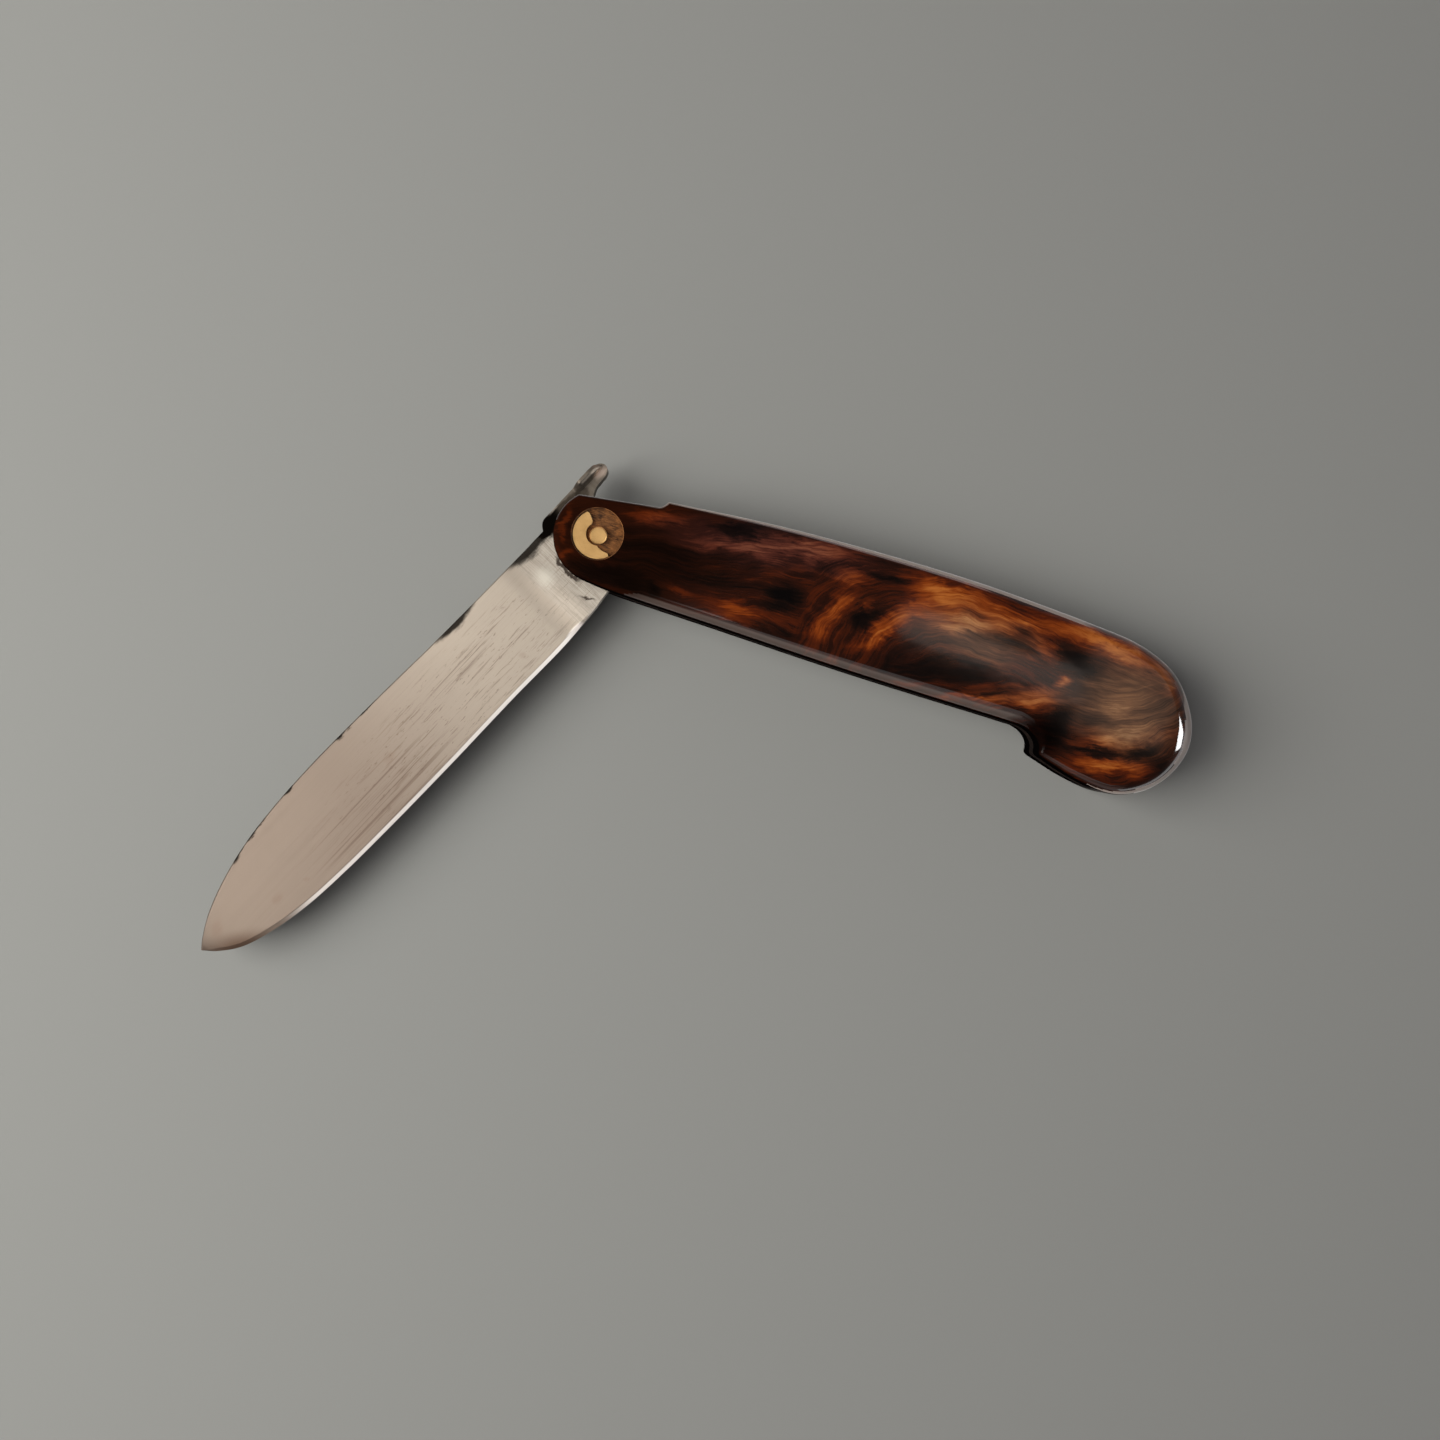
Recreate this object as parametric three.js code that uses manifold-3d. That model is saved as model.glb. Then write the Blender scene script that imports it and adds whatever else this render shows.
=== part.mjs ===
// Friction folding knife with a pistol-grip wooden handle and a thumb lever.
// Millimetres, +Z up. The knife lies on its side with the blade part way open.
// The origin is on the pivot's axis, in the plane that the handle lies on, and
// +X runs along the handle to its butt, with the handle's back on the +Y side.
//
// Five pieces: a one-piece handle with a sawn blade slot, a blade forged in one
// with its tang and thumb lever, a brass pivot pin, and a brass washer let into
// each side of the handle. The upper washer has lost the half nearer the butt.

import * as THREE from "three";
import { mergeVertices } from "three/addons/utils/BufferGeometryUtils.js";
import Module from "manifold-3d";

const wasm = await Module();
wasm.setup();

// Handle
const handleThickness = 13;
const frontRadius = 7.3; // the round front end, about the pivot
const bellyAtFront = 7.75; // half that radius behind the pivot
const seatEnd = 8.55; // foot of the step behind the lever's seat
const seatHeight = 7.2; // at the foot of that step
const seatSlope = 7.4; // degrees, rising towards the butt
const stepRun = 0.65;
const stepFillet = 0.8; // along the seat, at the step's foot
const backAtStep = 8.35;
const backAtPalm = 10.3;
const palmAt = 44;
const backAtNeck = 9.35;
const neckAt = 77.2;
const bellyAtPalm = 9.3;
const bellyAtNotch = 9.75;
const notchAt = 76.9; // where the belly has turned down into the bulb
const notchRun = 4.5; // along the belly, of that turn
const notchDrop = 3.2;
const bulbDrop = 16.3;
const bulbLowAt = 90.4;
const buttAt = 100.85;
const buttHeight = -4.8;

// Rounding of the handle's edges: how far it reaches over the flat side, and
// how far down the wall
const crispReach = 0.7;
const crispDepth = 1;
const frontReach = 1.2;
const frontDepth = 1.9;
const bodyReach = 2.1;
const bodyDepth = 3;
const buttReach = 3.8;
const buttDepth = 5.6;
const roundingSteps = 7;

// Blade, measured from the pivot along it and to either side of it
const bladeThickness = 2.4;
const bladeReach = 93.4;
const tipToSpine = 1.5;
const tangRadius = 5.9; // about the pivot, on the edge's side
const ricassoEnd = 12.3;
const ricassoEdge = 6.95;
const heelEdge = 7.4;
const heelSpine = 7.75;
const bellyAt = 58; // the blade's widest place
const bellySpine = 9.25;
const bellyEdge = 6.95;
const pointThickness = 1.2; // the spine's, near the point
const shoulderThickness = 0.55;
const edgeThickness = 0.12;
const edgeBevel = 0.75;
const spineChamfer = 0.2;

// Thumb lever on the tang
const leverReach = 9.3;
const leverOut = 9; // its outer face from the pivot, level with the blade
const leverFlat = 7.9; // where that face ends and the slanted tip starts
const leverSlant = 1.1; // how far the tip falls away from the face
const shoulderAt = 3.7; // where that face ends towards the blade
const leverWidth = 5.6;
const leverNeck = 2.6; // from the pivot to where it starts to widen
const leverRim = 0.5;
const leverDepth = 1.4; // down to the web that runs in the slot
const webDepth = 2.5;

// Pivot
const pinRadius = 1.4;
const pinBevel = 0.18;
const washerRadius = 3.95;
const washerHole = 1.85;
const washerThickness = 0.5;
const recessDepth = 1;
const recessCentre = [-0.2, 0.2]; // of both recesses and washers, from the pivot
const breakStart = 131; // degrees about its centre, where the broken washer starts
const breakEnd = 312;

// Clearances
const fitGap = 0.05; // between pieces that seat on each other or turn in a bore
const slotSideGap = 0.2;
const slotRoofGap = 0.4;
const slotEndGap = 1;
const recessGap = 0.15;

// The blade's angle from +X, as it lies, seen from above
const restAngle = -116.8;

const midHeight = handleThickness / 2;
const deg = THREE.MathUtils.degToRad;
const smooth = (x, low, high) => THREE.MathUtils.smoothstep(x, low, high);

// A three.js geometry as a manifold-3d solid, and back
function solidOf(geometry) {
  const bare = geometry.index ? geometry.toNonIndexed() : geometry.clone();
  bare.deleteAttribute("normal");
  bare.deleteAttribute("uv");
  const merged = mergeVertices(bare, 1e-4);
  return new wasm.Manifold(
    new wasm.Mesh({
      numProp: 3,
      vertProperties: merged.attributes.position.array,
      triVerts: new Uint32Array(merged.index.array),
    }),
  );
}

function geometryOf(solid) {
  const made = solid.getMesh();
  const geometry = new THREE.BufferGeometry();
  geometry.setAttribute("position", new THREE.BufferAttribute(made.vertProperties, 3));
  geometry.setIndex(new THREE.BufferAttribute(made.triVerts, 1));
  const flat = geometry.toNonIndexed();
  flat.computeVertexNormals();
  return flat;
}

// A closed body through rings that all have the same number of points
function skin(rings) {
  const count = rings[0].length;
  const position = rings.flat().flatMap((p) => [p.x, p.y, p.z]);
  const index = [];
  for (let r = 0; r + 1 < rings.length; r++)
    for (let i = 0; i < count; i++) {
      const a = r * count + i;
      const b = r * count + ((i + 1) % count);
      index.push(a, b, b + count, a, b + count, a + count);
    }
  const caps = [
    [rings[0], 0, true],
    [rings[rings.length - 1], (rings.length - 1) * count, false],
  ];
  for (const [ring, start, turned] of caps)
    for (const [a, b, c] of capFaces(ring))
      index.push(start + a, start + (turned ? c : b), start + (turned ? b : c));
  const geometry = new THREE.BufferGeometry();
  geometry.setAttribute("position", new THREE.Float32BufferAttribute(position, 3));
  geometry.setIndex(index);
  return geometry;
}

// Triangles over a flat ring, turned the same way as its points run
function capFaces(ring) {
  const normal = new THREE.Vector3();
  ring.forEach((p, i) => normal.add(p.clone().cross(ring[(i + 1) % ring.length])));
  const turn = new THREE.Quaternion().setFromUnitVectors(
    normal.normalize(),
    new THREE.Vector3(0, 0, 1),
  );
  const flat = ring.map((p) => p.clone().applyQuaternion(turn));
  const contour = flat.map((p) => new THREE.Vector2(p.x, p.y));
  return THREE.ShapeUtils.triangulateShape(contour, []);
}

function cylinder(radius, low, high) {
  const geometry = new THREE.CylinderGeometry(radius, radius, high - low, 48);
  geometry.rotateX(Math.PI / 2);
  geometry.translate(0, 0, (low + high) / 2);
  return geometry;
}

function plate(shape, low, high, curveSegments = 12) {
  const depth = high - low;
  const geometry = new THREE.ExtrudeGeometry(shape, { depth, bevelEnabled: false, curveSegments });
  geometry.translate(0, 0, low);
  return geometry;
}

const spline = (points) =>
  new THREE.CatmullRomCurve3(
    points.map(([x, y]) => new THREE.Vector3(x, y, 0)),
    false,
    "centripetal",
  );

// The handle's outline, anticlockwise from the front of the lever's seat.
// Each stretch is [curve, steps, rounding at its start, rounding at its end].
const crisp = [crispReach, crispDepth];
const front = [frontReach, frontDepth];
const body = [bodyReach, bodyDepth];
const butt = [buttReach, buttDepth];

function handleStretches() {
  const line = (x0, y0, x1, y1) =>
    new THREE.LineCurve3(new THREE.Vector3(x0, y0, 0), new THREE.Vector3(x1, y1, 0));
  const slope = deg(seatSlope);
  // The seat's line meets the front round where its distance from the pivot says
  const offset = seatHeight * Math.cos(slope) - seatEnd * Math.sin(slope);
  const seatStart = Math.PI / 2 + slope + Math.acos(offset / frontRadius);
  const seatX = frontRadius * Math.cos(seatStart);
  const seatY = frontRadius * Math.sin(seatStart);
  const seatFootX = seatEnd - stepFillet;
  const seatFootY = seatHeight - stepFillet * Math.tan(slope);
  const step = new THREE.QuadraticBezierCurve3(
    new THREE.Vector3(seatEnd + stepRun, backAtStep, 0),
    new THREE.Vector3(seatEnd, seatHeight, 0),
    new THREE.Vector3(seatFootX, seatFootY, 0),
  );
  const bellyDrop = Math.atan2(bellyAtFront - frontRadius, frontRadius / 2);
  const bellyStart = 1.5 * Math.PI - bellyDrop;
  const round = new THREE.EllipseCurve(0, 0, frontRadius, frontRadius, seatStart, bellyStart);
  const filletX = notchAt - notchRun;
  const cornerY = -bellyAtNotch - notchDrop;
  const fillet = new THREE.EllipseCurve(
    filletX,
    cornerY,
    notchRun,
    notchDrop,
    Math.PI / 2,
    0,
    true,
  );
  const corner = new THREE.QuadraticBezierCurve3(
    new THREE.Vector3(notchAt, cornerY, 0),
    new THREE.Vector3(notchAt, cornerY - 0.6, 0),
    new THREE.Vector3(notchAt + 1, cornerY - 0.85, 0),
  );
  return [
    [round, 16, crisp, front],
    [
      spline([
        [frontRadius * Math.cos(bellyStart), frontRadius * Math.sin(bellyStart)],
        [frontRadius / 2, -bellyAtFront],
        [palmAt / 2, -(bellyAtFront + bellyAtPalm) / 2 + 0.05],
        [palmAt, -bellyAtPalm],
        [filletX, -bellyAtNotch],
      ]),
      12,
      front,
      body,
    ],
    [fillet, 8, body, crisp],
    [corner, 3, crisp, crisp],
    [
      spline([
        [notchAt + 1, cornerY - 0.85],
        [(notchAt + bulbLowAt) / 2, -bulbDrop + 0.8],
        [bulbLowAt, -bulbDrop],
        [buttAt - 5.5, -bulbDrop + 2.1],
        [buttAt - 2.6, -bulbDrop + 4.9],
        [buttAt - 0.95, buttHeight - 3.6],
        [buttAt - 0.15, buttHeight - 1.4],
        [buttAt, buttHeight],
      ]),
      28,
      crisp,
      butt,
    ],
    [
      spline([
        [buttAt, buttHeight],
        [buttAt - 0.15, buttHeight + 1.2],
        [buttAt - 0.75, buttHeight + 3.1],
        [buttAt - 1.75, buttHeight + 5.1],
        [buttAt - 4.2, buttHeight + 8.5],
        [buttAt - 6.3, backAtNeck - 3.8],
        [buttAt - 8.8, backAtNeck - 2.5],
        [buttAt - 13.2, backAtNeck - 1.1],
        [neckAt, backAtNeck],
      ]),
      28,
      butt,
      body,
    ],
    [
      spline([
        [neckAt, backAtNeck],
        [(neckAt + palmAt) / 2 + 1, (backAtNeck + backAtPalm) / 2 + 0.4],
        [palmAt, backAtPalm],
        [(palmAt + seatEnd) / 2, (backAtPalm + backAtStep) / 2 + 0.4],
        [seatEnd + stepRun, backAtStep],
      ]),
      20,
      body,
      crisp,
    ],
    [step, 4, crisp, crisp],
    [line(seatFootX, seatFootY, seatX, seatY), 6, crisp, crisp],
  ];
}

// Points with their outward normals, lengthened at corners so that an inset
// keeps the same distance from both sides, and the rounding at each
function handleOutline() {
  const points = handleStretches().flatMap(([curve, steps, from, to]) =>
    Array.from({ length: steps }, (_, i) => {
      const at = curve.getPoint(i / steps);
      const share = i / steps;
      return {
        x: at.x,
        y: at.y,
        reach: THREE.MathUtils.lerp(from[0], to[0], share),
        depth: THREE.MathUtils.lerp(from[1], to[1], share),
      };
    }),
  );
  return points.map((p, i) => {
    const before = points[(i + points.length - 1) % points.length];
    const after = points[(i + 1) % points.length];
    const first = new THREE.Vector2(p.y - before.y, before.x - p.x).normalize();
    const second = new THREE.Vector2(after.y - p.y, p.x - after.x).normalize();
    const normal = first.clone().add(second).normalize();
    normal.divideScalar(Math.max(normal.dot(first), 0.6));
    return { ...p, normal };
  });
}

function handleBody() {
  const outline = handleOutline();
  const ring = (angle, top) =>
    outline.map((p) => {
      const inset = p.reach * (1 - Math.cos(angle));
      const fall = p.depth * (1 - Math.sin(angle));
      return new THREE.Vector3(
        p.x - p.normal.x * inset,
        p.y - p.normal.y * inset,
        top ? handleThickness - fall : fall,
      );
    });
  const angles = Array.from(
    { length: roundingSteps + 1 },
    (_, i) => (i / roundingSteps) * (Math.PI / 2),
  );
  return skin([
    ...angles.toReversed().map((angle) => ring(angle, false)),
    ...angles.map((angle) => ring(angle, true)),
  ]);
}

// The slot is sawn in from the belly and runs out at the front, where it also
// opens the lever's seat. Its roof clears the closed edge, its end the point.
function bladeSlot() {
  const roof = Math.max(heelEdge, bellyEdge) + slotRoofGap;
  const frontRoof = ricassoEdge + slotRoofGap;
  const reach = bladeReach + slotEndGap;
  const away = 2 * bulbDrop;
  const shape = new THREE.Shape();
  shape.moveTo(-3 * frontRadius, frontRoof);
  shape.lineTo(-3 * frontRadius, -away);
  shape.absarc(0, 0, reach, -Math.asin(away / reach), 0, false);
  shape.quadraticCurveTo(bladeReach - 7.5, roof - 0.1, bellyAt + 8, roof);
  shape.lineTo(ricassoEnd + 4, roof);
  shape.lineTo(ricassoEnd - 4, frontRoof);
  shape.closePath();
  const halfWidth = bladeThickness / 2 + slotSideGap;
  return plate(shape, midHeight - halfWidth, midHeight + halfWidth, 16);
}

function makeHandle() {
  const bore = cylinder(pinRadius + fitGap, -1, handleThickness + 1);
  const recess = washerRadius + recessGap;
  const upper = cylinder(recess, handleThickness - recessDepth, handleThickness + 1);
  const lower = cylinder(recess, -1, recessDepth);
  upper.translate(...recessCentre, 0);
  lower.translate(...recessCentre, 0);
  const cuts = [bladeSlot(), bore, upper, lower];
  return cuts.reduce((left, cut) => left.subtract(solidOf(cut)), solidOf(handleBody()));
}

// The blade in its own frame: +X to the point, +Y to the edge, mid-plane z = 0.
// Stations are [distance from the pivot, to the spine, to the edge].
const stations = [
  [ricassoEnd - 4, heelSpine, ricassoEdge],
  [ricassoEnd + 4, heelSpine + 0.15, heelEdge],
  [bellyAt / 2, heelSpine + 0.45, heelEdge - 0.2],
  [bellyAt - 14, bellySpine - 0.4, (heelEdge + bellyEdge) / 2],
  [bellyAt, bellySpine, bellyEdge],
  [bladeReach - 25.4, bellySpine - 0.2, bellyEdge - 0.35],
  [bladeReach - 17.4, bellySpine - 1, bellyEdge - 1],
  [bladeReach - 10.4, bellySpine - 2.55, bellyEdge - 2.3],
  [bladeReach - 4.9, tipToSpine + 3.2, bellyEdge - 4.2],
  [bladeReach - 1.6, tipToSpine + 1.3, 0.3],
  [bladeReach - 0.15, tipToSpine + 0.12, 0.12 - tipToSpine],
];

function bladeBody() {
  const spineLine = spline(stations.map(([x, spine]) => [x, -spine]));
  const edgeLine = spline(stations.map(([x, , edge]) => [x, edge]));
  const steps = 4 * (stations.length - 1);
  const rings = [];
  for (let i = 0; i <= steps; i++) {
    const spine = spineLine.getPoint(i / steps);
    const edge = edgeLine.getPoint(i / steps);
    const width = spine.distanceTo(edge);
    const across = edge.clone().sub(spine).divideScalar(width);
    const at = spine.x;
    const thinned = smooth(at, ricassoEnd, bladeReach);
    const taper = THREE.MathUtils.lerp(bladeThickness, pointThickness, thinned);
    const small = Math.min(1, width / 4);
    const ground = smooth(at, ricassoEnd - 3, ricassoEnd + 3);
    const shoulder = THREE.MathUtils.lerp(taper, shoulderThickness, ground);
    const sharp = THREE.MathUtils.lerp(taper - 2 * spineChamfer, edgeThickness, ground);
    const chamfer = spineChamfer * small;
    const bevel = THREE.MathUtils.lerp(spineChamfer, edgeBevel, ground) * small;
    // Half of the section, from the spine to the edge: [distance, half thickness]
    const half = [
      [0, taper / 2 - chamfer],
      [chamfer, taper / 2],
      [width - bevel, shoulder / 2],
      [width, sharp / 2],
    ];
    const point = ([along, z]) => spine.clone().addScaledVector(across, along).setZ(z);
    rings.push([
      ...half.map(point),
      ...half.toReversed().map(([along, z]) => point([along, -z])),
    ].toReversed());
  }
  return skin(rings);
}

// The flat tang about the pivot, with the lever's neck and web
function tangBody() {
  const meet = ricassoEnd - 3.6;
  const out = -leverOut;
  const under = out + webDepth;
  const shape = new THREE.Shape();
  shape.moveTo(meet, ricassoEdge);
  shape.lineTo(0, tangRadius);
  shape.absarc(0, 0, tangRadius, Math.PI / 2, deg(235), false);
  shape.quadraticCurveTo(-leverNeck - 1.7, under + 0.5, -leverNeck - 3.2, under + 0.1);
  shape.lineTo(-leverReach + 2, under);
  shape.quadraticCurveTo(-leverReach, under, -leverReach, out + leverSlant);
  shape.quadraticCurveTo(-leverReach + 0.3, out + 0.2, -leverFlat, out);
  shape.lineTo(shoulderAt, out);
  shape.quadraticCurveTo(shoulderAt + 1, out, shoulderAt + 1.8, -heelSpine);
  shape.lineTo(meet, -heelSpine);
  shape.closePath();
  return plate(shape, -bladeThickness / 2, bladeThickness / 2, 10);
}

// The lever's tongue: forged out wider than the blade, flat on its outer face,
// rounded underneath and at its end
function tongueBody() {
  const length = leverReach - 0.15 - leverNeck;
  const endRound = leverWidth / 2;
  const steps = 14;
  const rings = [];
  for (let i = 0; i <= steps; i++) {
    const share = i / steps;
    const s = length * (1 - (1 - share) ** 1.6);
    const start = smooth(s, 0, 1.8);
    const past = Math.max(0, (s - (length - endRound)) / endRound);
    const close = Math.sqrt(Math.max(0.03, 1 - past * past));
    const halfWidth = THREE.MathUtils.lerp(bladeThickness / 2 - 0.05, leverWidth / 2, start) * close;
    const x = -leverNeck - s;
    const fall = leverSlant * smooth(-x, leverFlat - 0.3, leverReach + 0.3);
    const depth = (leverDepth - fall) * (0.55 + 0.45 * close);
    const rim = Math.min(leverRim, depth / 2);
    const section = [
      [-halfWidth, 0],
      [halfWidth, 0],
      [halfWidth, rim],
    ];
    for (let k = 1; k <= 7; k++) {
      const angle = (k / 8) * Math.PI;
      section.push([halfWidth * 0.94 * Math.cos(angle), rim + (depth - rim) * Math.sin(angle) ** 0.8]);
    }
    section.push([-halfWidth, rim]);
    rings.push(section.map(([z, down]) => new THREE.Vector3(x, fall + down - leverOut, z)));
  }
  return skin(rings);
}

function makeBlade() {
  return solidOf(bladeBody())
    .add(solidOf(tangBody()))
    .add(solidOf(tongueBody()))
    .subtract(solidOf(cylinder(pinRadius + fitGap, -bladeThickness, bladeThickness)));
}

function makePin() {
  const profile = [
    [0, 0],
    [pinRadius - pinBevel, 0],
    [pinRadius, pinBevel],
    [pinRadius, handleThickness - pinBevel],
    [pinRadius - pinBevel, handleThickness],
    [0, handleThickness],
  ].map(([x, y]) => new THREE.Vector2(x, y));
  const geometry = new THREE.LatheGeometry(profile, 48);
  geometry.rotateX(Math.PI / 2);
  return geometry;
}

function wholeWasher() {
  const shape = new THREE.Shape().absarc(0, 0, washerRadius, 0, 2 * Math.PI, false);
  shape.holes.push(new THREE.Path().absarc(0, 0, washerHole, 0, 2 * Math.PI, true));
  return plate(shape, 0, washerThickness, 24);
}

// What is left of the upper washer: the half towards the blade, with its two
// broken edges
function brokenWasher() {
  const at = (radius, angle) => [radius * Math.cos(deg(angle)), radius * Math.sin(deg(angle))];
  const rim = washerRadius;
  const hole = washerHole;
  const shape = new THREE.Shape();
  shape.absarc(0, 0, rim, deg(breakStart), deg(breakEnd), false);
  shape.lineTo(...at(0.88 * rim, breakEnd + 1));
  shape.lineTo(...at((rim + hole) / 2 - 0.25, breakEnd - 14));
  shape.absarc(0, 0, hole, deg(breakEnd - 31), deg(breakStart + 5), true);
  shape.lineTo(...at(hole + 0.4, breakStart - 4));
  shape.lineTo(...at(0.9 * rim, breakStart - 4));
  shape.closePath();
  return plate(shape, 0, washerThickness, 20);
}

function finish(colour, roughness, metalness) {
  return new THREE.MeshStandardMaterial({ color: colour, roughness, metalness });
}

const wood = finish(0x5a2c17, 0.22, 0);
const steel = finish(0xaa9d92, 0.38, 0.95);
const brass = finish(0xc9a05c, 0.35, 0.95);

const knife = new THREE.Group();

function addPiece(name, geometry, material) {
  const mesh = new THREE.Mesh(geometry, material);
  mesh.name = name;
  knife.add(mesh);
  return mesh;
}

addPiece("handle", geometryOf(makeHandle()), wood);

const blade = addPiece("blade", geometryOf(makeBlade()), steel);
blade.position.z = midHeight;
blade.rotation.z = deg(restAngle);

addPiece("pivot_pin", makePin(), brass);

const upperWasher = addPiece("upper_washer", brokenWasher(), brass.clone());
upperWasher.position.set(...recessCentre, handleThickness - recessDepth + fitGap);

const lowerWasher = addPiece("lower_washer", wholeWasher(), brass.clone());
lowerWasher.position.set(...recessCentre, recessDepth - fitGap - washerThickness);

export default knife;
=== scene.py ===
"""Friction folding knife with a figured wooden handle: its finish, light and camera.

Lengths are in millimetres unless a name says otherwise. The origin is on the pivot's
axis, in the plane that the knife lies on, with the handle along +X, its back towards
+Y and +Z up. The blade has a frame of its own, with +X to the point and +Y to the edge.
"""

import math

import bmesh
import bpy
from mathutils import Matrix, Quaternion, Vector


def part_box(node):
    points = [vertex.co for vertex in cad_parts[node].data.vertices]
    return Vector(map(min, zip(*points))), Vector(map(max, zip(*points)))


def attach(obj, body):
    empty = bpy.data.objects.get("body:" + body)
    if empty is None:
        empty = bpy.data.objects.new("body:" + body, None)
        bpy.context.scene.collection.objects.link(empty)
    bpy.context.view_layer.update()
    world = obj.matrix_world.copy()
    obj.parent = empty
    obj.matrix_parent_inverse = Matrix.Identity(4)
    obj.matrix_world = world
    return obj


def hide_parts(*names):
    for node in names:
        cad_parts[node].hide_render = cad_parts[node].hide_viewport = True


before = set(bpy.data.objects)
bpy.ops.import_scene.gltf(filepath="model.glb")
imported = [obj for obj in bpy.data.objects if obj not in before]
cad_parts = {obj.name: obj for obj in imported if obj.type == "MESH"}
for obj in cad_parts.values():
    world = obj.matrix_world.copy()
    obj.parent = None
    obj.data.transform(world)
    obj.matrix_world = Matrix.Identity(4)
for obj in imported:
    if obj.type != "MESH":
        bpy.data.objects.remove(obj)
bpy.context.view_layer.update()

MM = 0.001
scene = bpy.context.scene

handle_low, handle_high = (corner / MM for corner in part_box("handle"))
pin_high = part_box("pivot_pin")[1] / MM
washer_low, washer_high = (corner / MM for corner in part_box("lower_washer"))

# Handle
THICKNESS = handle_high.z
FRONT_RADIUS = -handle_low.x
BUTT_AT = handle_high.x
BELLY_AT_FRONT = 7.75
SEAT_END = 8.55
SEAT_HEIGHT = 7.2
SEAT_SLOPE = math.radians(7.4)
STEP_RUN = 0.65
STEP_FILLET = 0.8
BACK_AT_STEP = 8.35
BACK_AT_PALM = 10.3
PALM_AT = 44
BACK_AT_NECK = 9.35
NECK_AT = 77.2
BELLY_AT_PALM = 9.3
BELLY_AT_NOTCH = 9.75
NOTCH_AT = 76.9
NOTCH_RUN = 4.5
NOTCH_DROP = 3.2
BULB_DROP = 16.3
BULB_LOW_AT = 90.4
BUTT_HEIGHT = -4.8

# Rounding of the handle's edges: over the flat side, and down the wall
CRISP = (0.7, 1)
FRONT = (1.2, 1.9)
BODY = (2.1, 3)
BUTT = (3.8, 5.6)
SMOOTHING_PASSES = 8
ROUNDING_STEPS = 14
# How many of those steps the rubbed rim takes, from the wall
RUBBED_ABOVE_WALL = 5
RUBBED_BELLY = 12
RUBBED_BODY = 9
RUBBED_BUTT = 11.5

# Blade, from the pivot along it and to either side of it
BLADE_THICKNESS = 2.4
BLADE_REACH = 93.4
TIP_TO_SPINE = 1.5
TANG_RADIUS = 5.9
RICASSO_END = 12.3
RICASSO_EDGE = 6.95
HEEL_EDGE = 7.4
HEEL_SPINE = 7.75
BELLY_AT = 58
BELLY_SPINE = 9.25
BELLY_EDGE = 6.95
POINT_THICKNESS = 1.2
SHOULDER_THICKNESS = 0.55
EDGE_THICKNESS = 0.12
EDGE_BEVEL = 0.75
SPINE_CHAMFER = 0.2

# Thumb lever
LEVER_REACH = 9.3
LEVER_OUT = 9
LEVER_FLAT = 7.9
LEVER_SLANT = 1.1
SHOULDER_AT = 3.7
LEVER_WIDTH = 5.6
LEVER_NECK = 2.6
LEVER_RIM = 0.5
LEVER_DEPTH = 1.4
WEB_DEPTH = 2.5

# Pivot
PIN_RADIUS = pin_high.x
WASHER_RADIUS = (washer_high.x - washer_low.x) / 2
RECESS_DEPTH = 1
RECESS_LIP = 0.12
RECESS_X = (washer_high.x + washer_low.x) / 2
RECESS_Y = (washer_high.y + washer_low.y) / 2

# Clearances
FIT_GAP = 0.05
SLOT_SIDE_GAP = 0.2
SLOT_ROOF_GAP = 0.4
SLOT_END_GAP = 1
RECESS_GAP = 0.15

MID_HEIGHT = THICKNESS / 2
REST_ANGLE = math.radians(-116.8)

# Facets of the pivot's round holes, and the least angles that show as a crease
BORE_FACETS = 64
RECESS_FACETS = 96
CREASE = math.radians(28)
GROUND_CREASE = math.radians(9)


def lerp(a, b, share):
    return a + (b - a) * share


def smooth(x, low, high):
    """0 at the low end of a range, 1 at its high end, and smooth between."""
    share = min(1, max(0, (x - low) / (high - low)))
    return share * share * (3 - 2 * share)


# Plane curves: each is a function of a share from 0 to 1
def arc(x, y, radius, start, end, height=None):
    """Part of a circle, or of an ellipse where the height is another than the radius."""
    def at(share):
        angle = lerp(start, end, share)
        return Vector((x + radius * math.cos(angle), y + (height or radius) * math.sin(angle)))

    return at


def line(start, end):
    return lambda share: Vector(start).lerp(Vector(end), share)


def bend(start, corner, end):
    def at(share):
        first = Vector(start).lerp(Vector(corner), share)
        return first.lerp(Vector(corner).lerp(Vector(end), share), share)

    return at


def spline(points):
    """Centripetal Catmull-Rom curve through the points."""
    inner = [Vector(p) for p in points]
    ends = 2 * inner[0] - inner[1], 2 * inner[-1] - inner[-2]
    every = [ends[0], *inner, ends[1]]

    def at(share):
        place = share * (len(inner) - 1)
        first = min(int(place), len(inner) - 2)
        t = place - first
        p0, p1, p2, p3 = every[first : first + 4]
        d0, d1, d2 = ((b - a).length ** 0.5 for a, b in ((p0, p1), (p1, p2), (p2, p3)))
        m1 = ((p1 - p0) / d0 - (p2 - p0) / (d0 + d1) + (p2 - p1) / d1) * d1
        m2 = ((p2 - p1) / d1 - (p3 - p1) / (d1 + d2) + (p3 - p2) / d2) * d1
        c2 = -3 * p1 + 3 * p2 - 2 * m1 - m2
        c3 = 2 * p1 - 2 * p2 + m1 + m2
        return p1 + m1 * t + c2 * t * t + c3 * t * t * t

    return at


def sample(curve, steps):
    """Points along a curve, without its end."""
    return [curve(i / steps) for i in range(steps)]


# Meshes
def mesh_object(name, points, faces, material):
    mesh = bpy.data.meshes.new(name)
    mesh.from_pydata([Vector(p) * MM for p in points], [], faces)
    mesh.validate()
    made = bpy.data.objects.new(name, mesh)
    scene.collection.objects.link(made)
    mesh.materials.append(material)
    return made


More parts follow.
